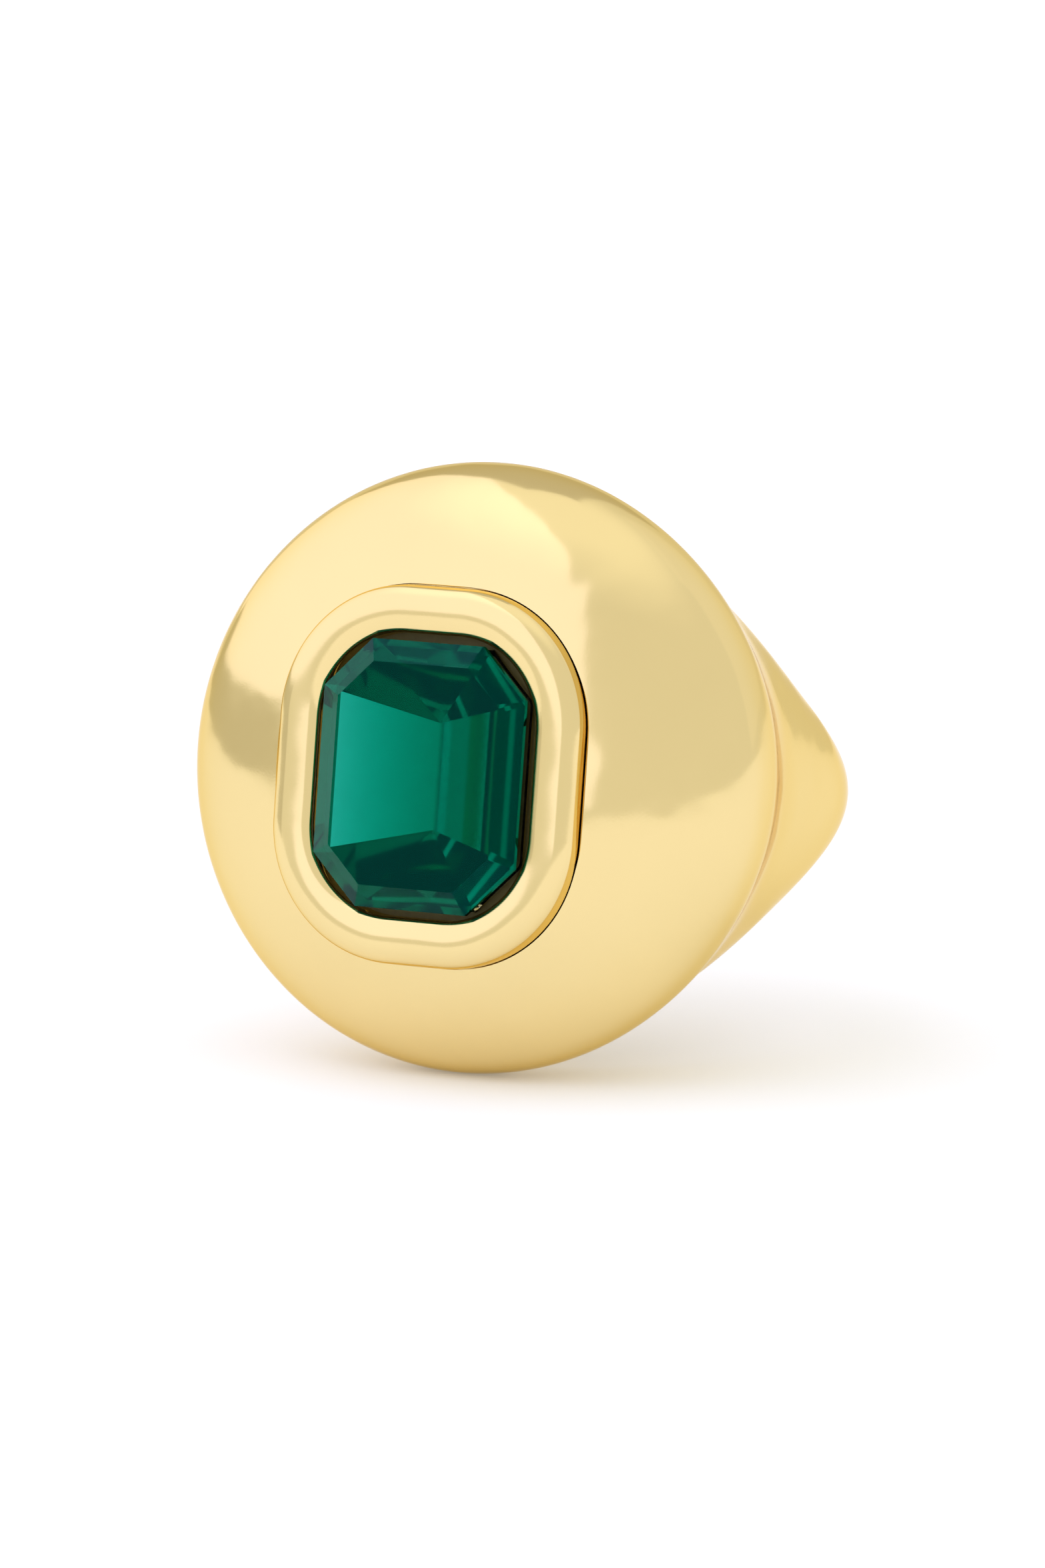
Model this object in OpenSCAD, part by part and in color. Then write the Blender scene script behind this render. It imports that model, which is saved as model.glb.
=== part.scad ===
// Domed cocktail ring with an octagon crystal in a rolled oval bezel.
// The finger goes through along Z, the head faces -Y, and the origin is the middle of the finger hole.

/* [Shank] */
// Diameter of the finger hole
finger_bore_d = 17.3; // [16.9:0.1:17.7]
// Thickness of the shank at its back
shank_back_t = 2; // [1.5:0.05:3]
// Thickness of the shank at its sides
shank_side_t = 3.55; // [3.2:0.05:3.9]
// Height of the band at its back
band_back_h = 3.9; // [3:0.1:6]
// Height that the band tapers from, inside the head
band_root_h = 21.8; // [21:0.2:23]
// How soon the band narrows: a higher value narrows it sooner
band_taper = 2.3; // [2.1:0.1:2.6]

/* [Head] */
// Width of the dome across the finger
dome_w = 28; // [27:0.1:29]
// Height of the dome along the finger
dome_h = 27.6; // [26.6:0.1:28.4]
// Depth of the dome's front half
dome_depth = 6; // [5.8:0.1:6.4]
// How full the dome's shoulder is: 2 is an ellipse, and a higher value is fuller
dome_fullness = 2.2; // [2.15:0.05:2.4]
// Depth of the dome's back half at the sides, where it runs into the shank
neck_side_depth = 8.5; // [8:0.1:9]
// Depth of the dome's back half at the top and the bottom
neck_top_depth = 3.3; // [3.1:0.1:4]
// Distance from the finger's axis to the dome's widest plane
dome_reach = 11.4; // [11.2:0.1:11.6]
// How far the dome's middle lies above the stone's middle
dome_rise = 0.4; // [0:0.1:0.5]
// Softness of the join between the dome and the shank at the finger hole's lips
lip_blend = 2.5; // [2.2:0.1:2.8]
// How much softer the join is at the sides of the neck
neck_blend = 2.5; // [2:0.1:3]
// Radius of the rounded edge of the hollow inside the head
hollow_edge_r = 4; // [3.6:0.1:4]
// Width and height of the hollow inside the head
hollow_d = 22; // [21.5:0.5:22.5]

/* [Setting] */
// Distance from the finger's axis to the plane of the bezel's seam
seam_reach = 16.5; // [16.4:0.1:16.7]
// Radius of the corners of the bezel's opening
opening_corner_r = 4; // [3.9:0.05:4.05]
// Width of the bezel's rolled rim
rim_w = 2.15; // [1.8:0.05:2.2]
// Height of the rim's crest above the seam plane
rim_h = 1.1; // [1:0.1:1.5]
// Thickness of the cup's wall under the rim
cup_wall = 0.75; // [0.5:0.05:0.8]
// Depth of the cup under the seam plane
cup_depth = 3.9; // [3.7:0.1:4]
// Thickness of the plate that closes the cup
base_plate_t = 0.8; // [0.6:0.1:0.8]

/* [Stone] */
// Width of the stone
stone_w = 10; // [9.8:0.1:10.1]
// Length of the stone
stone_l = 12; // [11.8:0.1:12.1]
// How far each corner of the stone is cut back
corner_cut = 2.25; // [2.2:0.05:2.6]
// Height of the girdle's front edge above the seam plane
girdle_front = 1.2; // [0.9:0.1:1.2]
// Thickness of the girdle
girdle_t = 0.25; // [0.2:0.05:0.4]
// Height of the crown
crown_h = 0.6; // [0.5:0.1:0.8]
// Width of the crown's step
crown_step_w = 1; // [0.9:0.1:1.2]
// Depth of the pavilion's first step
pavilion_step_h = 0.9; // [0.8:0.1:1]
// Width of the pavilion's first step
pavilion_step_w = 0.6; // [0.5:0.1:0.7]
// Depth of the whole pavilion, down to its keel
pavilion_h = 3.1; // [3:0.1:3.3]
// Length of the keel
keel_l = 4.8; // [4.4:0.1:5.2]
// Thickness of the foil behind the stone
foil_t = 0.12; // [0.1:0.01:0.15]

/* [Hidden] */

$fn = 96;
bore_r = finger_bore_d / 2;
ray_start_inset = 0.6;
ray_start_r = bore_r - ray_start_inset;
ray_fan = 30;
cut_overrun = 1;
angle_steps = 72;
arch_steps = 26;
search_reach = 24;
search_steps = 18;
dome_field_scale = 8;
band_field_scale = 3;
taper_hold = 3;

rim_r = opening_corner_r + rim_w;
cup_r = opening_corner_r + cup_wall;
fit_gap = 0.05;
stone_gap = 0.35;
corner_x = stone_w / 2 + stone_gap - opening_corner_r;
corner_y = stone_l / 2 + stone_gap - opening_corner_r;
flange_depth = 0.9;
crest_share = 0.45;
crest_r = opening_corner_r + crest_share * rim_w;
lip_drop = 0.4;
step_h = 0.15;
roll_fullness = 2.4;
roll_steps = 7;
cement_top = -0.2;
foil_top = 0.7;
keel_grow_rate = 1.2;
head_wall = 1.7;
corner_inset_rate = 2 - sqrt(2);
tiny = 0.000001;

// ---- the ring's body: a dome and a tapering band, blended ----

function smooth_min(a, b, k) = let (h = max(k - abs(a - b), 0) / k) min(a, b) - h * h * k / 4;

function band_half_h(a) =
    (band_back_h + (band_root_h - band_back_h) * pow(1 - pow(sin(a / 2), taper_hold), band_taper)) / 2;

function band_t(a) = shank_back_t + (shank_side_t - shank_back_t) * pow(sin(a), 2);

function dome_field(x, y, z) =
    let (
        sideways = pow(2 * x / dome_w, 2),
        across = sideways + pow(2 * (z - dome_rise) / dome_h, 2),
        neck_depth = neck_top_depth + (neck_side_depth - neck_top_depth) * sideways / max(across, tiny),
        depth = y < -dome_reach ? dome_depth : neck_depth,
        along = pow(abs(y + dome_reach) / depth, dome_fullness)
    )
    dome_field_scale * (pow(pow(across, dome_fullness / 2) + along, 1 / dome_fullness) - 1);

function band_field(a, r, z) =
    band_field_scale * (norm([(r - bore_r) / band_t(a), z / band_half_h(a)]) - 1);

// Negative inside the metal, zero on its surface
function body_field(x, y, z) =
    let (a = abs(atan2(x, -y)))
    smooth_min(
        dome_field(x, y, z),
        band_field(a, norm([x, y]), z),
        lip_blend + neck_blend * pow(sin(a), 2)
    );

// A ray leaves the finger hole's wall at the angle a from the head and at the angle lift from
// the level, and fans out sideways so that it crosses the neck behind the dome squarely
function ray_point(a, lift, d) =
    let (b = a + ray_fan * sin(a), level = d * cos(lift))
    [ray_start_r * sin(a) + level * sin(b), -ray_start_r * cos(a) - level * cos(b), d * sin(lift)];

// Where the ray comes out of the metal, by halving the stretch from near to far
function surface_distance(a, lift, near = 0, far = search_reach, left = search_steps) =
    let (middle = (near + far) / 2, p = ray_point(a, lift, middle))
    left == 0 ? middle :
    body_field(p.x, p.y, p.z) < 0
        ? surface_distance(a, lift, middle, far, left - 1)
        : surface_distance(a, lift, near, middle, left - 1);

module solid_body() {
    row = arch_steps + 1;
    points = [
        for (i = [0 : angle_steps - 1], j = [0 : arch_steps])
            let (a = i * 360 / angle_steps, lift = -90 + j * 180 / arch_steps)
            ray_point(a, lift, surface_distance(a, lift))
    ];
    quads = [
        for (i = [0 : angle_steps - 1], j = [0 : arch_steps])
            let (i2 = (i + 1) % angle_steps, j2 = (j + 1) % row)
            [i * row + j, i * row + j2, i2 * row + j2, i2 * row + j]
    ];
    triangles = [for (q = quads, half = [0, 1]) half == 0 ? [q[0], q[1], q[2]] : [q[0], q[2], q[3]]];
    polyhedron(points, triangles, convexity = 6);
}

// Round disc with a fully rounded edge, open to the finger hole
module head_hollow() {
    translate([0, -seam_reach + head_wall + hollow_edge_r, dome_rise])
        rotate([90, 0, 0])
            rotate_extrude() {
                translate([hollow_d / 2 - hollow_edge_r, 0]) intersection() {
                    circle(hollow_edge_r);
                    translate([0, -hollow_edge_r]) square([hollow_edge_r, 2 * hollow_edge_r]);
                }
                translate([0, -hollow_edge_r]) square([hollow_d / 2 - hollow_edge_r, 2 * hollow_edge_r]);
            }
}

module ring_body() {
    color([0.93, 0.82, 0.52])
        difference() {
            solid_body();
            translate([0, 0, -dome_h]) cylinder(r = bore_r, h = 2 * dome_h);
            head_hollow();
            setting_frame() {
                translate([0, 0, -cup_depth]) oval_prism(cup_r + fit_gap, cup_depth);
                translate([0, 0, -flange_depth]) oval_prism(rim_r + fit_gap, flange_depth + 2 * cut_overrun);
            }
        }
}

// ---- the setting: drawn lying flat, with the seam plane at height 0, then stood up on the head ----

module setting_frame() {
    translate([0, -seam_reach, 0]) rotate([90, 0, 0]) children();
}

// Rounded oblong whose corners have the radius r
module oval(r) {
    square([2 * (corner_x + r), 2 * corner_y], center = true);
    square([2 * corner_x, 2 * (corner_y + r)], center = true);
    for (sx = [-1, 1], sy = [-1, 1]) translate([sx * corner_x, sy * corner_y]) circle(r);
}

module oval_prism(r, h) {
    linear_extrude(h) oval(r);
}

// The rim's section: distance from the corner's centre, then height above the seam plane
function rolled_rim_points() =
    let (rise = rim_h - step_h, run = rim_r - crest_r, lip = crest_r - opening_corner_r)
    [
        for (i = [0 : roll_steps])
            let (a = 90 * i / roll_steps)
            [crest_r + run * pow(cos(a), 2 / roll_fullness), step_h + rise * pow(sin(a), 2 / roll_fullness)],
        for (i = [1 : roll_steps])
            let (a = 90 * i / roll_steps)
            [crest_r - lip * sin(a), rim_h - lip_drop * (1 - cos(a))]
    ];

module collar_section() {
    polygon(concat(rolled_rim_points(), [
        [opening_corner_r, -cup_depth], [cup_r, -cup_depth], [cup_r, -flange_depth], [rim_r, -flange_depth]
    ]));
}

// Sweeps a section round the oval: a quarter turn at each corner, and straight runs between them
module sweep_round_oval() {
    for (sx = [0, 1], sy = [0, 1])
        mirror([sx, 0, 0]) mirror([0, sy, 0])
            translate([corner_x, corner_y, 0]) rotate_extrude(angle = 90) children();
    for (turn = [0, 180]) rotate([0, 0, turn]) {
        translate([corner_x, corner_y, 0]) rotate([90, 0, 0]) linear_extrude(2 * corner_y) children();
        rotate([0, 0, 90]) translate([corner_y, corner_x, 0])
            rotate([90, 0, 0]) linear_extrude(2 * corner_x) children();
    }
}

module bezel_collar() {
    color([0.95, 0.85, 0.56]) setting_frame() sweep_round_oval() collar_section();
}

module bezel_base_plate() {
    color([0.9, 0.78, 0.48])
        setting_frame() translate([0, 0, -cup_depth - base_plate_t]) oval_prism(cup_r, base_plate_t);
}

module cement_bed() {
    color([0.85, 0.83, 0.75])
        setting_frame() difference() {
            translate([0, 0, -cup_depth]) oval_prism(opening_corner_r, cup_depth + cement_top);
            pavilion(foil_t);
        }
}

// ---- the stone ----

// Octagon set in from the stone's outline, at the height z
function octagon(inset, z) =
    let (
        x = stone_w / 2 - inset,
        y = stone_l / 2 - inset,
        c = corner_cut - inset * corner_inset_rate
    )
    [
        [x, y - c, z], [x - c, y, z], [c - x, y, z], [-x, y - c, z],
        [-x, c - y, z], [c - x, -y, z], [x - c, -y, z], [x, c - y, z]
    ];

function side_faces(first, second) =
    [for (i = [0 : 7]) [first + i, first + (i + 1) % 8, second + (i + 1) % 8, second + i]];

// The pavilion from the girdle down to the keel, grown on every side by the thickness grow
module pavilion(grow = 0) {
    top = girdle_front - girdle_t;
    step_z = top - pavilion_step_h - grow / 2;
    keel_z = top - pavilion_h - keel_grow_rate * grow;
    points = concat(
        octagon(-grow, top),
        octagon(pavilion_step_w - grow, step_z),
        [[0, keel_l / 2, keel_z], [0, -keel_l / 2, keel_z]]
    );
    upper = 16;
    lower = 17;
    faces = concat(
        [[for (i = [7 : -1 : 0]) i]],
        side_faces(0, 8),
        [
            [8, 9, upper], [9, 10, upper], [10, 11, upper], [11, 12, lower, upper],
            [12, 13, lower], [13, 14, lower], [14, 15, lower], [15, 8, upper, lower]
        ]
    );
    polyhedron(points, faces, convexity = 2);
}

module crown() {
    points = concat(
        octagon(0, girdle_front - girdle_t), octagon(0, girdle_front),
        octagon(crown_step_w, girdle_front + crown_h)
    );
    faces = concat(
        [[for (i = [0 : 7]) i]], side_faces(8, 0), side_faces(16, 8), [[for (i = [7 : -1 : 0]) 16 + i]]
    );
    polyhedron(points, faces, convexity = 2);
}

module stone_foil() {
    color([0.75, 0.75, 0.72])
        setting_frame() difference() {
            pavilion(foil_t);
            pavilion();
            translate([0, 0, foil_top + cut_overrun / 2])
                cube([2 * stone_w, 2 * stone_l, cut_overrun], center = true);
        }
}

module stone() {
    color([0.0, 0.45, 0.36]) setting_frame() union() {
        pavilion();
        crown();
    }
}

ring_body();
bezel_collar();
bezel_base_plate();
cement_bed();
stone_foil();
stone();
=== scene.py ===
# Domed cocktail ring: a polished gold-plated casting, a rolled oval bezel and an emerald-green
# octagon crystal with a foiled back. The finger goes through along Z and the head faces -Y.
import math

import bmesh
import bpy
import numpy as np
from mathutils import Matrix, Vector


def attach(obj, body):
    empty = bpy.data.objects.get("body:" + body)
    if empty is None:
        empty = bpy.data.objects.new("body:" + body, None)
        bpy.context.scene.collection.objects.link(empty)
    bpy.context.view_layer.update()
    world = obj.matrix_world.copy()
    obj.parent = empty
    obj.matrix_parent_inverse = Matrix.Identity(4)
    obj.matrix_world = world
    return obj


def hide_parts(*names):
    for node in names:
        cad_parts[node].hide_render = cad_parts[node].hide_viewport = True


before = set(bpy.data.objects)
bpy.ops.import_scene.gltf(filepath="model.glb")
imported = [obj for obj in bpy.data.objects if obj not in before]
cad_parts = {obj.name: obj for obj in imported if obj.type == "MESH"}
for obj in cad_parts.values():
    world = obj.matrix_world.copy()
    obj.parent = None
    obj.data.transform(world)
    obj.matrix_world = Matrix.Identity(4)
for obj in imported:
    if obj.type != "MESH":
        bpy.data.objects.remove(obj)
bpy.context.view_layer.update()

MM = 0.001
MERGE = 1e-6  # metres

# ---- measures, in millimetres, as the part's own source has them ----
BORE_R = 17.3 / 2
SHANK_BACK_T, SHANK_SIDE_T = 2.0, 3.55
BAND_BACK_H, BAND_ROOT_H = 3.9, 21.8
BAND_TAPER, TAPER_HOLD = 2.3, 3
DOME_W, DOME_H, DOME_DEPTH = 28.0, 27.6, 6.0
NECK_SIDE_DEPTH, NECK_TOP_DEPTH = 8.5, 3.3
DOME_FULLNESS, DOME_REACH, DOME_RISE = 2.2, 11.4, 0.4
LIP_BLEND, NECK_BLEND = 2.5, 2.5
DOME_LEVEL_SCALE, BAND_LEVEL_SCALE = 8, 3
HOLLOW_EDGE_R, HOLLOW_D, HEAD_WALL = 4.0, 22.0, 1.7
SEAM_REACH = 16.5
OPENING_R, RIM_W, RIM_H = 4.0, 2.15, 1.1
CREST_SHARE, RIM_STEP_H, LIP_DROP, ROLL_FULLNESS = 0.45, 0.15, 0.4, 2.4
CUP_WALL, CUP_DEPTH = 0.75, 3.9
FLANGE_DEPTH, FIT_GAP = 0.9, 0.05
STONE_W, STONE_L, CORNER_CUT = 10.0, 12.0, 2.25
GIRDLE_FRONT, GIRDLE_T = 1.2, 0.25
CROWN_H, CROWN_STEP_W = 0.6, 1.0
PAVILION_STEP_H, PAVILION_STEP_W, PAVILION_H, KEEL_L = 0.9, 0.6, 3.1, 4.8
KEEL_GROW_RATE = 1.2
FOIL_TOP = 0.7
STONE_GAP = 0.35

CORNER_X = STONE_W / 2 + STONE_GAP - OPENING_R
CORNER_Y = STONE_L / 2 + STONE_GAP - OPENING_R
RIM_R = OPENING_R + RIM_W
CUP_R = OPENING_R + CUP_WALL
GIRDLE_BACK = GIRDLE_FRONT - GIRDLE_T

# ---- measures of the visual model only, in millimetres ----
ROUNDED_LIP = 0.9  # how far the finger hole's lips are rounded over
SKIN_TUBE_R = 0.3  # the tube is spun a whole unit away from the finger's axis
METAL_MIDDLE_R = BORE_R + 0.95  # where the rays to the skin start
FARTHEST_SKIN, FARTHEST_LIP = 24.0, 16.0
SEAM_GAP, SEAT_MOUTH_R, SEAT_MOUTH_DEPTH = 0.035, 0.09, 0.14
SEAT_DEEPER, SEAT_OVERRUN, SEAT_FLARE = 1.2, 1.2, 0.9
FOIL_GAP, FOIL_T = 0.012, 0.08


# ---- the casting's shape ----

def smooth_min(a, b, k):
    """The lesser of a and b, with the corner between them rounded over the stretch k."""
    h = np.maximum(k - np.abs(a - b), 0) / k
    return np.minimum(a, b) - h * h * k / 4


def dome_level(x, y, z):
    """Negative inside the dome, zero on its skin."""
    sideways = (2 * x / DOME_W) ** 2
    across = sideways + (2 * (z - DOME_RISE) / DOME_H) ** 2
    side_growth = (NECK_SIDE_DEPTH - NECK_TOP_DEPTH) * sideways / np.maximum(across, 1e-6)
    neck_depth = NECK_TOP_DEPTH + side_growth
    depth = np.where(y < -DOME_REACH, DOME_DEPTH, neck_depth)
    along = (np.abs(y + DOME_REACH) / depth) ** DOME_FULLNESS
    return DOME_LEVEL_SCALE * ((across ** (DOME_FULLNESS / 2) + along) ** (1 / DOME_FULLNESS) - 1)


def band_level(x, y, z):
    """Negative inside the tapering band, zero on its skin."""
    turn = np.abs(np.arctan2(x, -y))
    taper = (1 - np.sin(turn / 2) ** TAPER_HOLD) ** BAND_TAPER
    half_h = (BAND_BACK_H + (BAND_ROOT_H - BAND_BACK_H) * taper) / 2
    thick = SHANK_BACK_T + (SHANK_SIDE_T - SHANK_BACK_T) * np.sin(turn) ** 2
    return BAND_LEVEL_SCALE * (np.hypot((np.hypot(x, y) - BORE_R) / thick, z / half_h) - 1)


def body_level(p):
    """The dome and the band blended, most softly at the sides of the neck."""
    blend = LIP_BLEND + NECK_BLEND * p[0] ** 2 / np.maximum(p[0] ** 2 + p[1] ** 2, 1e-9)
    return smooth_min(dome_level(*p), band_level(*p), blend)


def slope(level, p, nudge=1e-3):
    """The direction in which a level grows fastest at the points p, not made a unit long."""
    steps = np.eye(3)[:, :, None] * nudge
    return np.array([(level(p + s) - level(p - s)) / (2 * nudge) for s in steps])


def metal_depth(p):
    """Distance to the metal's skin, negative inside, with the lips of the finger hole rounded over."""
    outside = body_level(p) / np.linalg.norm(slope(body_level, p), axis=0)
    in_bore = BORE_R - np.hypot(p[0], p[1])
    return -smooth_min(-outside, -in_bore, ROUNDED_LIP)


def mesh_object(bm, name, materials=()):
    mesh = bpy.data.meshes.new(name)
    bm.to_mesh(mesh)
    bm.free()
    piece = bpy.data.objects.new(name, mesh)
    bpy.context.scene.collection.objects.link(piece)
    for material in materials:
        mesh.materials.append(material)
    return piece


def casting_skin():
    """A tube spun about the finger's axis, whose points are then let out along rays to the skin."""
    bm = bmesh.new()
    bmesh.ops.create_circle(bm, segments=49, radius=SKIN_TUBE_R)
    bmesh.ops.rotate(bm, cent=(0, 0, 0), matrix=Matrix.Rotation(math.pi / 2, 3, "X"), verts=bm.verts)
    bmesh.ops.translate(bm, vec=(1, 0, 0), verts=bm.verts)
    bmesh.ops.spin(bm, geom=bm.edges[:] + bm.verts[:], cent=(0, 0, 0), axis=(0, 0, 1),
                   angle=math.tau, steps=100, use_merge=True)
    bmesh.ops.subdivide_edges(bm, edges=bm.edges[:], cuts=3, use_grid_fill=True)
    tube = np.array([v.co for v in bm.verts]).T
    turn = np.arctan2(tube[0], -tube[1])
    lift = np.arctan2(tube[2], np.hypot(tube[0], tube[1]) - 1)
    out = let_out(turn, lift)
    for vert, place in zip(bm.verts, (out * MM).T.tolist()):
        vert.co = place
    bmesh.ops.recalc_face_normals(bm, faces=bm.faces)
    return bm


def let_out(a, lift):
    """Skin points for the angle a round the finger and the angle lift round the metal's section."""
    fan = math.radians(30)
    outer_share, lip_share = 0.64, 0.84  # rows on the outer skin, then rows closely round the lip
    lip_spread = 0.10
    share = lift / math.pi
    lifted = np.zeros_like(lift)
    for side in (1, -1):
        lip = lip_angle(a, side)
        s = np.clip(share * side, 0, 1)
        outer = np.interp(s, [0, outer_share], [0, 1]) * (lip - lip_spread)
        around = np.interp(s, [outer_share, lip_share], [0, 1]) * 2 * lip_spread
        inner = np.interp(s, [lip_share, 1], [0, 1]) * (math.pi - lip - lip_spread)
        lifted = np.where(share * side > 0, side * (outer + around + inner), lifted)
    b = a + fan * np.sin(a)

    def along(d):
        level = d * np.cos(lifted)
        return np.array([METAL_MIDDLE_R * np.sin(a) + level * np.sin(b),
                         -METAL_MIDDLE_R * np.cos(a) - level * np.cos(b), d * np.sin(lifted)])

    near, far = np.zeros_like(a), np.full_like(a, FARTHEST_SKIN)
    halvings = 21
    for _ in range(halvings):
        middle = (near + far) / 2
        inside = metal_depth(along(middle)) < 0
        near, far = np.where(inside, middle, near), np.where(inside, far, middle)
    return along((near + far) / 2)


def lip_angle(a, side):
    """The angle at which the finger hole's lip is seen from the middle of the metal."""
    near, far = np.zeros_like(a), np.full_like(a, FARTHEST_LIP)
    halvings = 24
    for _ in range(halvings):
        z = (near + far) / 2
        inside = body_level(np.array([BORE_R * np.sin(a), -BORE_R * np.cos(a), side * z])) < 0
        near, far = np.where(inside, z, near), np.where(inside, far, z)
    return np.arctan2(far, BORE_R - METAL_MIDDLE_R)


def hollow_cutter():
    """Round disc with a rounded edge, for the space inside the head."""
    bm = bmesh.new()
    edge = [bm.verts.new((0, HOLLOW_EDGE_R * MM, 0))]
    flat_r = HOLLOW_D / 2 - HOLLOW_EDGE_R
    edge_steps = 32
    for i in range(edge_steps + 1):
        t = math.pi / 2 - math.pi * i / edge_steps
        r, depth = flat_r + HOLLOW_EDGE_R * math.cos(t), HOLLOW_EDGE_R * math.sin(t)
        edge.append(bm.verts.new((r * MM, depth * MM, 0)))
    edge.append(bm.verts.new((0, -HOLLOW_EDGE_R * MM, 0)))
    lines = [bm.edges.new(pair) for pair in zip(edge, edge[1:])]
    bmesh.ops.spin(bm, geom=lines + edge, cent=(0, 0, 0), axis=(0, 1, 0), angle=math.tau,
                   steps=128, use_merge=True)
    bmesh.ops.remove_doubles(bm, verts=bm.verts, dist=MERGE / 10)
    bmesh.ops.recalc_face_normals(bm, faces=bm.faces)
    middle_y = -SEAM_REACH + HEAD_WALL + HOLLOW_EDGE_R
    bmesh.ops.translate(bm, vec=(0, middle_y * MM, DOME_RISE * MM), verts=bm.verts)
    return bm


# Stands the setting, which is drawn lying flat with the seam plane at height 0, up on the head
SETTING = Matrix(((1, 0, 0, 0), (0, 0, -1, -SEAM_REACH * MM), (0, 1, 0, 0), (0, 0, 0, 1)))


def only(kind, geom):
    return [g for g in geom if isinstance(g, kind)]


def sweep_round_oval(section, closed=True, corner_steps=28):
    """Carries a section, given as distance from the corner's centre and height, round the oval."""
    bm = bmesh.new()
    verts = [bm.verts.new(((CORNER_X + r) * MM, -CORNER_Y * MM, v * MM)) for r, v in section]
    pairs = list(zip(verts, verts[1:])) + ([(verts[-1], verts[0])] if closed else [])
    geom = verts + [bm.edges.new(p) for p in pairs]

    def straight(vec, geom):
        made = bmesh.ops.extrude_edge_only(bm, edges=only(bmesh.types.BMEdge, geom))["geom"]
        fresh = only(bmesh.types.BMVert, made)
        bmesh.ops.translate(bm, vec=vec, verts=fresh)
        return fresh + only(bmesh.types.BMEdge, made)

    long_run, short_run = 2 * CORNER_Y * MM, 2 * CORNER_X * MM
    runs = (((0, long_run, 0), (1, 1)), ((-short_run, 0, 0), (-1, 1)),
            ((0, -long_run, 0), (-1, -1)), ((short_run, 0, 0), (1, -1)))
    for vec, (sx, sy) in runs:
        geom = straight(vec, geom)
        geom = bmesh.ops.spin(bm, geom=geom, cent=(sx * CORNER_X * MM, sy * CORNER_Y * MM, 0),
                              axis=(0, 0, 1), angle=math.pi / 2, steps=corner_steps)["geom_last"]
    bmesh.ops.remove_doubles(bm, verts=bm.verts, dist=MERGE)
    return bm


def close_ends(bm):
    bmesh.ops.holes_fill(bm, edges=[e for e in bm.edges if e.is_boundary], sides=0)
    bmesh.ops.recalc_face_normals(bm, faces=bm.faces)


def seat_cutter():
    """The pocket that the bezel sits in, with a softened mouth."""
    wall = RIM_R + SEAM_GAP
    last_turn, mouth_steps = math.pi / 2.2, 5
    soft = [(wall + SEAT_MOUTH_R * (1 - math.cos(t)), -SEAT_MOUTH_DEPTH + SEAT_MOUTH_R * math.sin(t))
            for t in np.linspace(0, last_turn, mouth_steps)]
    section = [(CUP_R + FIT_GAP, -CUP_DEPTH - SEAT_DEEPER), (CUP_R + FIT_GAP, -FLANGE_DEPTH),
               (wall, -FLANGE_DEPTH), *soft, (wall + SEAT_FLARE, SEAT_OVERRUN)]
    bm = sweep_round_oval(section, closed=False)
    close_ends(bm)
    bmesh.ops.transform(bm, matrix=SETTING, verts=bm.verts)
    return bm


def cut_away(piece, cutters):
    for name, bm in cutters:
        tool = mesh_object(bm, name)
        cut = piece.modifiers.new(name, "BOOLEAN")
        cut.operation, cut.solver, cut.object = "DIFFERENCE", "EXACT", tool
        bpy.context.view_layer.update()
        with_cut = piece.evaluated_get(bpy.context.evaluated_depsgraph_get())
        mesh = bpy.data.meshes.new_from_object(with_cut)
        piece.modifiers.clear()
        piece.data = mesh
        bpy.data.objects.remove(tool)


def true_normals(piece):
    """Gives the skin its exact normals, so that its reflections run without facets."""
    on_skin_within, least_agreement = 0.004, 0.6
    mesh = piece.data
    mesh.shade_smooth()
    mesh.set_sharp_from_angle(angle=math.radians(32))
    co = read_numbers(mesh.vertices, "co", 3).T / MM
    depth = np.abs(metal_depth(co))
    grown = slope(metal_depth, co)
    grown = (grown / np.linalg.norm(grown, axis=0)).T
    corner = read_numbers(mesh.loops, "vertex_index", 1).astype(int).ravel()
    first = read_numbers(mesh.polygons, "loop_start", 1).astype(int).ravel()
    count = read_numbers(mesh.polygons, "loop_total", 1).astype(int).ravel()
    facing = np.repeat(read_numbers(mesh.polygons, "normal", 3), count, axis=0)
    farthest = np.maximum.reduceat(depth[corner], first)
    least = np.minimum.reduceat((grown[corner] * facing).sum(1), first)
    on_skin = np.repeat((farthest < on_skin_within) & (least > least_agreement), count)
    normals = np.where(on_skin[:, None], grown[corner], 0.0)
    mesh.normals_split_custom_set(normals.tolist())


def read_numbers(items, name, size):
    """One property of every item of a mesh, as rows of size numbers."""
    counted = name in ("vertex_index", "loop_start", "loop_total")
    values = np.zeros(len(items) * size, np.int32 if counted else np.float32)
    items.foreach_get(name, values)
    return values.reshape(-1, size)


# ---- finishes ----

class Strand:
    """One output socket of a finish. Sums and products of it add Math nodes."""

    def __init__(self, finish, socket):
        self.finish, self.socket = finish, socket

    def _math(self, operation, *values):
        return self.finish.node("ShaderNodeMath", {"operation": operation}, dict(enumerate(values)))

    def __add__(self, other):
        return self._math("ADD", self, other)

    def __radd__(self, other):
        return self._math("ADD", other, self)

    def __mul__(self, other):
        return self._math("MULTIPLY", self, other)

    def __rmul__(self, other):
        return self._math("MULTIPLY", other, self)


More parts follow.
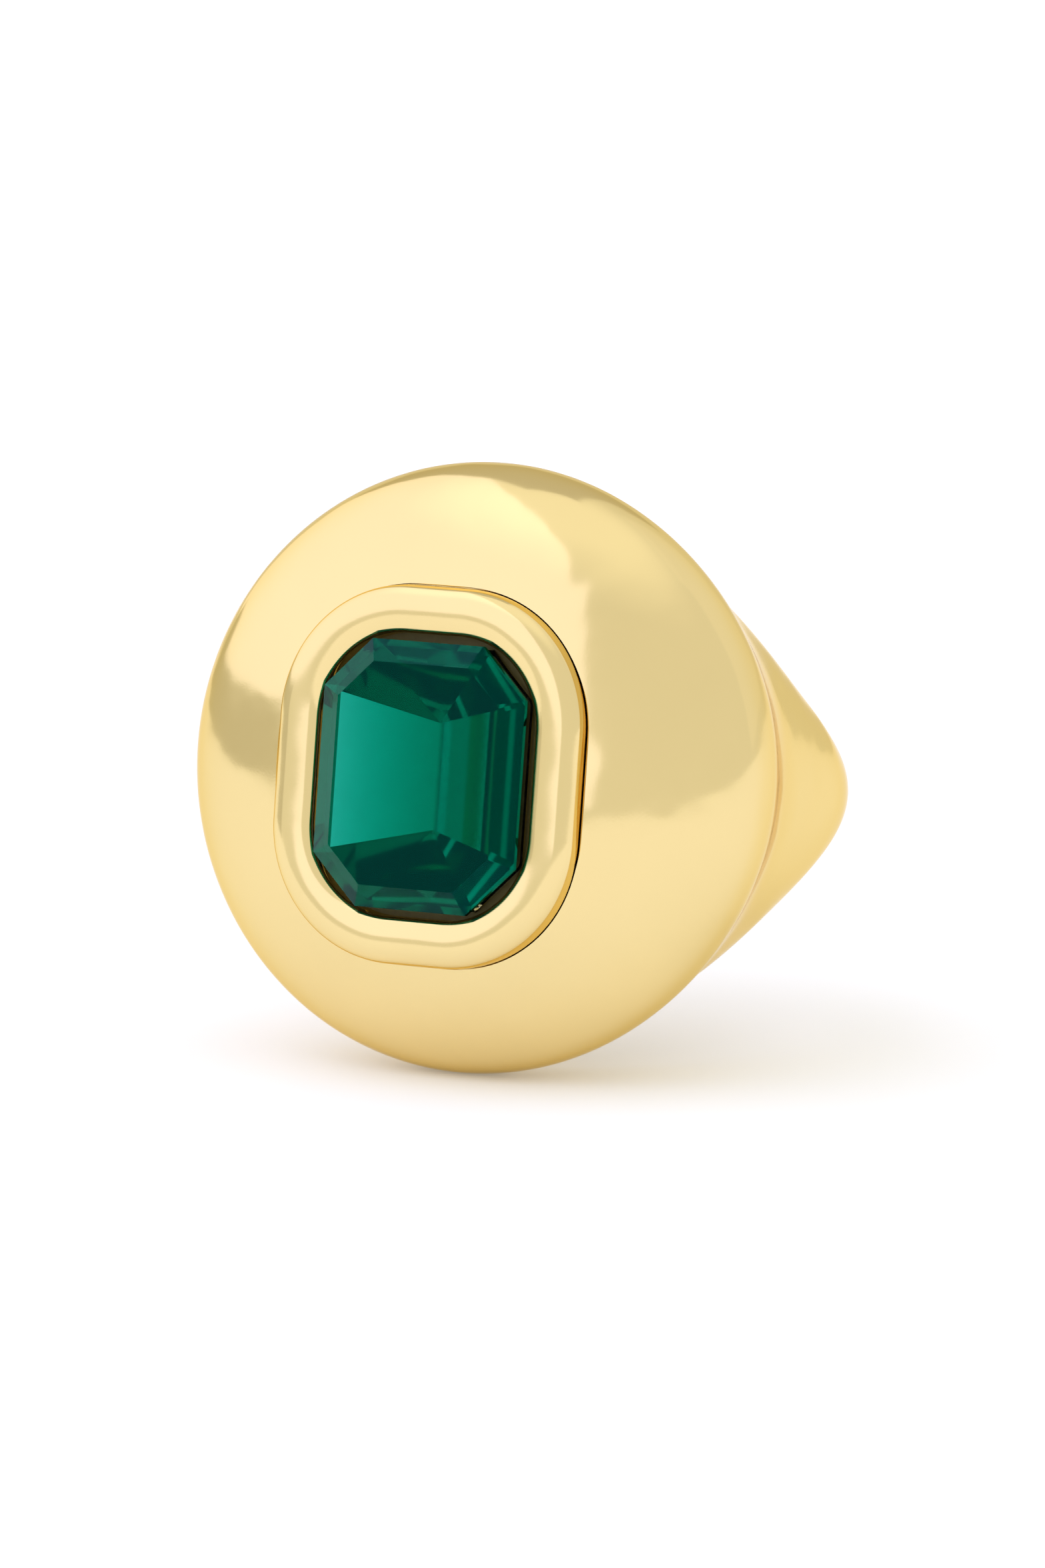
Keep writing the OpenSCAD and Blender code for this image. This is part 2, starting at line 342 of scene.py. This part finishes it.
class Finish:
    """A material and its nodes."""

    def __init__(self, name):
        self.material = bpy.data.materials.new(name)
        self.material.use_nodes = True
        self.tree = self.material.node_tree
        self.tree.nodes.clear()

    def node(self, kind, settings=None, sockets=None, output=0):
        """Adds a node with its settings and its sockets' values or links, and gives one output."""
        made = self.tree.nodes.new(kind)
        for key, value in (settings or {}).items():
            setattr(made, key, value)
        for key, value in (sockets or {}).items():
            socket = made.inputs[key] if isinstance(key, int) else self.find(made, key)
            if isinstance(value, Strand):
                self.tree.links.new(value.socket, socket)
            elif isinstance(value, (tuple, list)) and len(value) == 3 and socket.type == "RGBA":
                socket.default_value = (*value, 1)
            else:
                socket.default_value = value
        found = made.outputs[output] if isinstance(output, int) else self.find(made, output, False)
        return Strand(self, found)

    @staticmethod
    def find(made, key, inward=True):
        sockets = made.inputs if inward else made.outputs
        return next((s for s in sockets if s.identifier == key), None) or sockets[key]

    def noise(self, per_mm, detail=2.0, roughness=0.5):
        """Noise on Object coordinates, with per_mm lumps to the millimetre."""
        object_place = self.node("ShaderNodeTexCoord", output="Object")
        scaled = self.node("ShaderNodeMapping", {},
                           {"Vector": object_place, "Scale": [per_mm / MM] * 3})
        return self.node("ShaderNodeTexNoise", {},
                         {"Vector": scaled, "Scale": 1.0, "Detail": detail, "Roughness": roughness})

    def blend(self, share, first, second):
        return self.node("ShaderNodeMix", {"data_type": "RGBA"},
                         {"Factor_Float": share, "A_Color": first, "B_Color": second}, "Result_Color")

    def bump(self, height, distance, normal=None):
        sockets = {"Height": height, "Distance": distance, "Strength": 1.0}
        if normal is not None:
            sockets["Normal"] = normal
        return self.node("ShaderNodeBump", {}, sockets)


def finished(finish, shader, volume=None):
    """Joins the shader to the material's output and gives the material."""
    out = finish.tree.nodes.new("ShaderNodeOutputMaterial")
    finish.tree.links.new(shader.socket, out.inputs["Surface"])
    if volume is not None:
        finish.tree.links.new(volume.socket, out.inputs["Volume"])
    return finish.material


def polished_gold(name, waves):
    """Hand-polished plate: slow swells and ripples in the metal, and a very fine grain."""
    colour, edge_colour, roughness = (0.85, 0.675, 0.315), (0.90, 0.78, 0.50), 0.12
    swell_h, ripple_h, grain_h = 0.06 * MM * waves, 0.03 * MM * waves, 0.0006 * MM
    darker, lighter = 0.97, 1.03
    gold = Finish(name)
    tone = gold.noise(0.16, detail=3.0)
    base = gold.blend(tone, tuple(c * darker for c in colour), tuple(c * lighter for c in colour))
    waved = gold.bump(gold.noise(0.22, detail=1.0), swell_h)
    waved = gold.bump(gold.noise(0.42, detail=1.0, roughness=0.4), ripple_h, normal=waved)
    waved = gold.bump(gold.noise(9.0, detail=2.0), grain_h, normal=waved)
    rough = roughness * 0.85 + gold.noise(1.6, detail=4.0) * (roughness * 0.3)
    shader = gold.node("ShaderNodeBsdfPrincipled", {}, {
        "Base Color": base, "Metallic": 1.0, "Roughness": rough, "Normal": waved,
        "Specular Tint": edge_colour})
    return finished(gold, shader)


def green_crystal(name):
    """Coated crystal: what its skin reflects is green, and its depth takes out the red."""
    crystal = Finish(name)
    rough = crystal.noise(1.1, detail=5.0) * 0.012
    glass = crystal.node("ShaderNodeBsdfPrincipled", {}, {
        "Base Color": (1, 1, 1), "IOR": 1.53, "Roughness": rough, "Transmission Weight": 1.0,
        "Specular Tint": (0.0, 0.80, 0.64)})
    tint = crystal.node("ShaderNodeVolumeAbsorption", {},
                        {"Color": (0.0, 0.825, 0.755), "Density": 1000.0})
    return finished(crystal, glass, tint)


def foil_mirror(name):
    """Bright silvery foil, a little cloudy in places."""
    foil = Finish(name)
    wear = foil.noise(1.4, detail=4.0)
    shade = foil.blend(wear, (0.80, 0.82, 0.80), (0.90, 0.92, 0.90))
    shader = foil.node("ShaderNodeBsdfPrincipled", {}, {
        "Base Color": shade, "Metallic": 1.0, "Roughness": 0.05})
    return finished(foil, shader)


def cement_painted_shade(name):
    """Set adhesive coloured a dark olive brown, a painted shade that stands in for the shade falling
    in the cup round the stone.
    """
    cement = Finish(name)
    grit = cement.noise(3.0, detail=6.0)
    # painted shade: the dark olive brown stands for the shade in the cup; the grit noise only varies
    # it at random
    shade = cement.blend(grit, (0.10, 0.085, 0.02), (0.15, 0.13, 0.04))
    shader = cement.node("ShaderNodeBsdfPrincipled", {}, {
        "Base Color": shade, "Roughness": 0.6, "Normal": cement.bump(grit, 0.04 * MM)})
    return finished(cement, shader)


# ---- the pieces ----

def put_on_root(piece, slot, *nodes):
    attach(piece, "root")
    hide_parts(*nodes)


def make_casting(material):
    piece = mesh_object(casting_skin(), "polished_casting")
    cut_away(piece, (("head_hollow_tool", hollow_cutter()), ("seat_tool", seat_cutter())))
    piece.data.materials.clear()
    piece.data.materials.append(material)
    true_normals(piece)
    put_on_root(piece, "gold_plate", "ring_body")
    return piece


def bezel_section():
    """The rolled rim's outline: up the outer side, over the crest, down the lip and the cup."""
    crest_r = OPENING_R + CREST_SHARE * RIM_W
    rise, run, lip = RIM_H - RIM_STEP_H, RIM_R - crest_r, crest_r - OPENING_R
    first_turn, over_steps, down_steps = 0.02, 16, 9
    power = 2 / ROLL_FULLNESS
    over = [(crest_r + run * math.cos(t) ** power, RIM_STEP_H + rise * math.sin(t) ** power)
            for t in np.linspace(first_turn, math.pi / 2, over_steps)]
    down = [(crest_r - lip * math.sin(t), RIM_H - LIP_DROP * (1 - math.cos(t)))
            for t in np.linspace(0, math.pi / 2, down_steps)[1:]]
    return [(RIM_R, -FLANGE_DEPTH), (RIM_R, RIM_STEP_H * 0.5), *over, *down,
            (OPENING_R, -CUP_DEPTH), (CUP_R, -CUP_DEPTH), (CUP_R, -FLANGE_DEPTH)]


def make_bezel(material):
    bm = sweep_round_oval(bezel_section(), corner_steps=40)
    bmesh.ops.recalc_face_normals(bm, faces=bm.faces)
    bmesh.ops.transform(bm, matrix=SETTING, verts=bm.verts)
    piece = mesh_object(bm, "rolled_bezel", [material])
    piece.data.shade_smooth()
    piece.data.set_sharp_from_angle(angle=math.radians(40))
    put_on_root(piece, "bezel_gold", "bezel_collar")


def octagon_face(bm, v, inset=0.0):
    """The stone's outline, set in by the inset, as one face at the height v."""
    width, length = STONE_W - 2 * inset, STONE_L - 2 * inset
    corner = CORNER_CUT - inset * (2 - math.sqrt(2))
    bmesh.ops.create_grid(bm, x_segments=1, y_segments=1, size=0.5)
    bmesh.ops.scale(bm, vec=(width * MM, length * MM, 1), verts=bm.verts)
    bmesh.ops.bevel(bm, geom=bm.verts[:], offset=corner * MM, affect="VERTICES",
                    segments=1, profile=0.5, material=-1)
    bmesh.ops.translate(bm, vec=(0, 0, v * MM), verts=bm.verts)
    bm.faces.ensure_lookup_table()
    return bm.faces[0]


def inset_to_step(bm, face, width, rise):
    """Insets a face by the width and lifts what is left of it by the rise."""
    bmesh.ops.inset_region(bm, faces=[face], thickness=width * MM, depth=0, use_even_offset=True)
    bmesh.ops.translate(bm, vec=(0, 0, rise * MM), verts=face.verts)


def draw_to_keel(bm, face, start_v, start_inset, grow=0.0):
    """Draws a face down over the pavilion's step and in to the keel."""
    step_drop = GIRDLE_BACK - PAVILION_STEP_H - start_v - grow / 2
    keel_v = GIRDLE_BACK - PAVILION_H - KEEL_GROW_RATE * grow
    inset_to_step(bm, face, PAVILION_STEP_W - start_inset, step_drop)
    keel = bmesh.ops.extrude_discrete_faces(bm, faces=[face])["faces"][0]
    for vert in keel.verts:
        side = 1 if vert.co.y > 0 else -1
        vert.co = (0, side * KEEL_L / 2 * MM, keel_v * MM)
    bmesh.ops.remove_doubles(bm, verts=bm.verts, dist=MERGE)
    bmesh.ops.dissolve_degenerate(bm, dist=MERGE / 10, edges=bm.edges)


def make_stone(glass, foil):
    """The crystal: crown, girdle and pavilion, whose facets show the foil behind them."""
    faces_back = -0.1
    bm = bmesh.new()
    top = octagon_face(bm, GIRDLE_BACK)
    raised = bmesh.ops.extrude_face_region(bm, geom=[top], use_keep_orig=True)["geom"]
    upper = only(bmesh.types.BMFace, raised)[0]
    lower = next(f for f in bm.faces if f is not upper and len(f.verts) == 8)
    bmesh.ops.translate(bm, vec=(0, 0, GIRDLE_T * MM), verts=upper.verts)
    inset_to_step(bm, upper, CROWN_STEP_W, CROWN_H)
    draw_to_keel(bm, lower, GIRDLE_BACK, 0)
    bmesh.ops.recalc_face_normals(bm, faces=bm.faces)
    for face in bm.faces:
        if face.normal.z < faces_back:
            face.material_index = 1
    bmesh.ops.transform(bm, matrix=SETTING, verts=bm.verts)
    piece = mesh_object(bm, "octagon_crystal", [glass, foil])
    put_on_root(piece, "crystal", "stone")


def make_foil(material):
    """The foil on the crystal's back, a hair off its facets."""
    bm = bmesh.new()
    rim_inset = PAVILION_STEP_W * (GIRDLE_BACK - FOIL_TOP) / PAVILION_STEP_H
    face = octagon_face(bm, FOIL_TOP, rim_inset - FOIL_GAP)
    draw_to_keel(bm, face, FOIL_TOP, rim_inset, FOIL_GAP)
    bmesh.ops.recalc_face_normals(bm, faces=bm.faces)
    if sum(f.normal.z * f.calc_area() for f in bm.faces) > 0:
        bmesh.ops.reverse_faces(bm, faces=bm.faces)
    shell = bm.faces[:] + bm.edges[:] + bm.verts[:]
    bmesh.ops.solidify(bm, geom=shell, thickness=-FOIL_T * MM)
    bmesh.ops.recalc_face_normals(bm, faces=bm.faces)
    bmesh.ops.transform(bm, matrix=SETTING, verts=bm.verts)
    piece = mesh_object(bm, "foil_backing", [material])
    put_on_root(piece, "foil", "stone_foil")


# ---- the studio: azimuths are to the right of the camera's direction, elevations above the floor ----
VIEW_AZIMUTH, VIEW_ELEVATION, VIEW_ROLL = math.radians(25.59), math.radians(1.96), math.radians(4.0)
VIEW_DISTANCE = 450 * MM
AIM = Vector((0, -5 * MM, 0))
LENS, SENSOR_W = 226.05, 36
SHIFT_X, SHIFT_Y = -0.0125, -0.0048
CLIP_NEAR, CLIP_FAR = 0.01, 20
FLOOR_UP = Vector((-0.005, -0.147, 0.989)).normalized()
FLOOR_HALF_W = 1.6
FLOOR_GLOW = 0.14
SKY, SKY_TOP = 0.88, 1.1
SKY_TOP_STARTS, SKY_TOP_FULL = 0.72, 0.98


def make_camera():
    """Sets the camera up and gives the direction from the ring to it."""
    back = Vector((math.sin(VIEW_AZIMUTH) * math.cos(VIEW_ELEVATION),
                   -math.cos(VIEW_AZIMUTH) * math.cos(VIEW_ELEVATION), math.sin(VIEW_ELEVATION)))
    level_right = Vector((math.cos(VIEW_AZIMUTH), math.sin(VIEW_AZIMUTH), 0))
    level_up = back.cross(level_right)
    right = level_right * math.cos(VIEW_ROLL) + level_up * math.sin(VIEW_ROLL)
    up = -level_right * math.sin(VIEW_ROLL) + level_up * math.cos(VIEW_ROLL)
    camera = bpy.data.objects.new("studio_camera", bpy.data.cameras.new("studio_camera"))
    bpy.context.scene.collection.objects.link(camera)
    turned = Matrix((right, up, back)).transposed().to_4x4()
    camera.matrix_world = Matrix.Translation(AIM + back * VIEW_DISTANCE) @ turned
    camera.data.sensor_width = SENSOR_W
    camera.data.lens = LENS
    camera.data.shift_x, camera.data.shift_y = SHIFT_X, SHIFT_Y
    camera.data.clip_start, camera.data.clip_end = CLIP_NEAR, CLIP_FAR
    bpy.context.scene.camera = camera
    return back


def studio_axes(back):
    """Directions along the floor: towards the camera, and to the camera's right."""
    towards = (back - FLOOR_UP * back.dot(FLOOR_UP)).normalized()
    return towards, FLOOR_UP.cross(towards)


def studio_way(axes, azimuth, elevation):
    """The direction at an azimuth and an elevation, both in degrees."""
    towards, right = axes
    a, e = math.radians(azimuth), math.radians(elevation)
    return (towards * math.cos(a) + right * math.sin(a)) * math.cos(e) + FLOOR_UP * math.sin(e)


def upright_light(name, axes, azimuth, distance, half_angle, low, high, radiance, colour):
    """An upright soft panel at the azimuth, from the elevation low to high, that adds its
    radiance to the sky's."""
    way = studio_way(axes, azimuth, 0)
    width = 2 * distance * math.tan(math.radians(half_angle))
    bottom, top = (distance * math.tan(math.radians(e)) for e in (low, high))
    lamp = bpy.data.lights.new(name, "AREA")
    lamp.shape, lamp.size, lamp.size_y = "RECTANGLE", width, top - bottom
    lamp.energy, lamp.color = radiance * math.pi * width * (top - bottom), colour
    holder = bpy.data.objects.new(name, lamp)
    bpy.context.scene.collection.objects.link(holder)
    side = FLOOR_UP.cross(way)
    middle = way * distance + FLOOR_UP * (bottom + top) / 2
    turned = Matrix((side, FLOOR_UP, way)).transposed().to_4x4()
    holder.matrix_world = Matrix.Translation(middle) @ turned


def card(name, axes, azimuths, elevations, distance, shade):
    """A plain bent card between two azimuths and two elevations, seen only in reflections."""
    finish = Finish(name)
    shader = finish.node("ShaderNodeEmission", {}, {"Color": shade, "Strength": 1.0})
    finished(finish, shader)
    bm = bmesh.new()
    bmesh.ops.create_grid(bm, x_segments=12, y_segments=6, size=0.5)
    for vert in bm.verts:
        azimuth = azimuths[0] + (azimuths[1] - azimuths[0]) * (vert.co.x + 0.5)
        elevation = elevations[0] + (elevations[1] - elevations[0]) * (vert.co.y + 0.5)
        vert.co = studio_way(axes, azimuth, elevation) * distance
    piece = mesh_object(bm, name, [finish.material])
    piece.visible_camera = False


def make_floor(low):
    """A pale floor at the height low along FLOOR_UP, with a faint glow that keeps it white."""
    floor_finish = Finish("pale_floor")
    grain = floor_finish.noise(0.5, detail=3.0)
    shade = floor_finish.blend(grain, (0.945, 0.943, 0.940), (0.955, 0.953, 0.950))
    matt = floor_finish.node("ShaderNodeBsdfDiffuse", {}, {"Color": shade})
    glow = floor_finish.node("ShaderNodeEmission", {},
                             {"Color": (0.95, 0.98, 1.0), "Strength": FLOOR_GLOW})
    shader = floor_finish.node("ShaderNodeAddShader", {}, {0: matt, 1: glow})
    finished(floor_finish, shader)
    bm = bmesh.new()
    bmesh.ops.create_grid(bm, x_segments=1, y_segments=1, size=FLOOR_HALF_W)
    turn = Vector((0, 0, 1)).rotation_difference(FLOOR_UP).to_matrix()
    bmesh.ops.rotate(bm, cent=(0, 0, 0), matrix=turn, verts=bm.verts)
    bmesh.ops.translate(bm, vec=FLOOR_UP * low, verts=bm.verts)
    floor = mesh_object(bm, "pale_floor", [floor_finish.material])


def make_world():
    """An even pale sky, a little brighter overhead."""
    world = bpy.data.worlds.new("white_studio")
    bpy.context.scene.world = world
    world.use_nodes = True
    nodes, links = world.node_tree.nodes, world.node_tree.links
    background = nodes["Background"]
    background.inputs["Color"].default_value = (1, 1, 1, 1)
    height = nodes.new("ShaderNodeVectorMath")
    height.operation = "DOT_PRODUCT"
    links.new(nodes.new("ShaderNodeTexCoord").outputs["Generated"], height.inputs[0])
    height.inputs[1].default_value = FLOOR_UP
    strength = nodes.new("ShaderNodeMapRange")
    strength.interpolation_type = "SMOOTHSTEP"
    links.new(height.outputs["Value"], strength.inputs["Value"])
    for name, value in (("From Min", SKY_TOP_STARTS), ("From Max", SKY_TOP_FULL),
                        ("To Min", SKY), ("To Max", SKY_TOP)):
        strength.inputs[name].default_value = value
    links.new(strength.outputs["Result"], background.inputs["Strength"])


# ---- building ----
gold = polished_gold("polished_gold_plate", waves=1.5)
bezel_gold = polished_gold("bezel_gold", waves=0.6)
casting = make_casting(gold)
make_bezel(bezel_gold)
foil = foil_mirror("bright_foil")
make_stone(green_crystal("green_crystal"), foil)
make_foil(foil)

for node, material in (("bezel_base_plate", bezel_gold),
                       # the cement bed gets the painted-shade adhesive
                       ("cement_bed", cement_painted_shade("cement_painted_shade"))):
    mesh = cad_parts[node].data
    mesh.materials.clear()
    mesh.materials.append(material)

back = make_camera()
axes = studio_axes(back)
lowest = min(v.co.dot(FLOOR_UP) for v in casting.data.vertices)
make_floor(lowest)
make_world()
upright_light("left_scrim", axes, azimuth=-90, distance=0.8, half_angle=68, low=9, high=76,
              radiance=0.42, colour=(0.88, 0.88, 1.45))
upright_light("right_scrim", axes, azimuth=125, distance=0.9, half_angle=25, low=4, high=55,
              radiance=0.06, colour=(1.0, 0.93, 0.90))
card("left_skirting", axes, azimuths=(-150, -78), elevations=(-1, 8), distance=1.2,
     shade=(0.68, 0.67, 0.64))
card("back_shade", axes, azimuths=(158, 202), elevations=(20, 70), distance=1.4,
     shade=(0.66, 0.64, 0.60))
bpy.context.scene.view_settings.view_transform = "Standard"
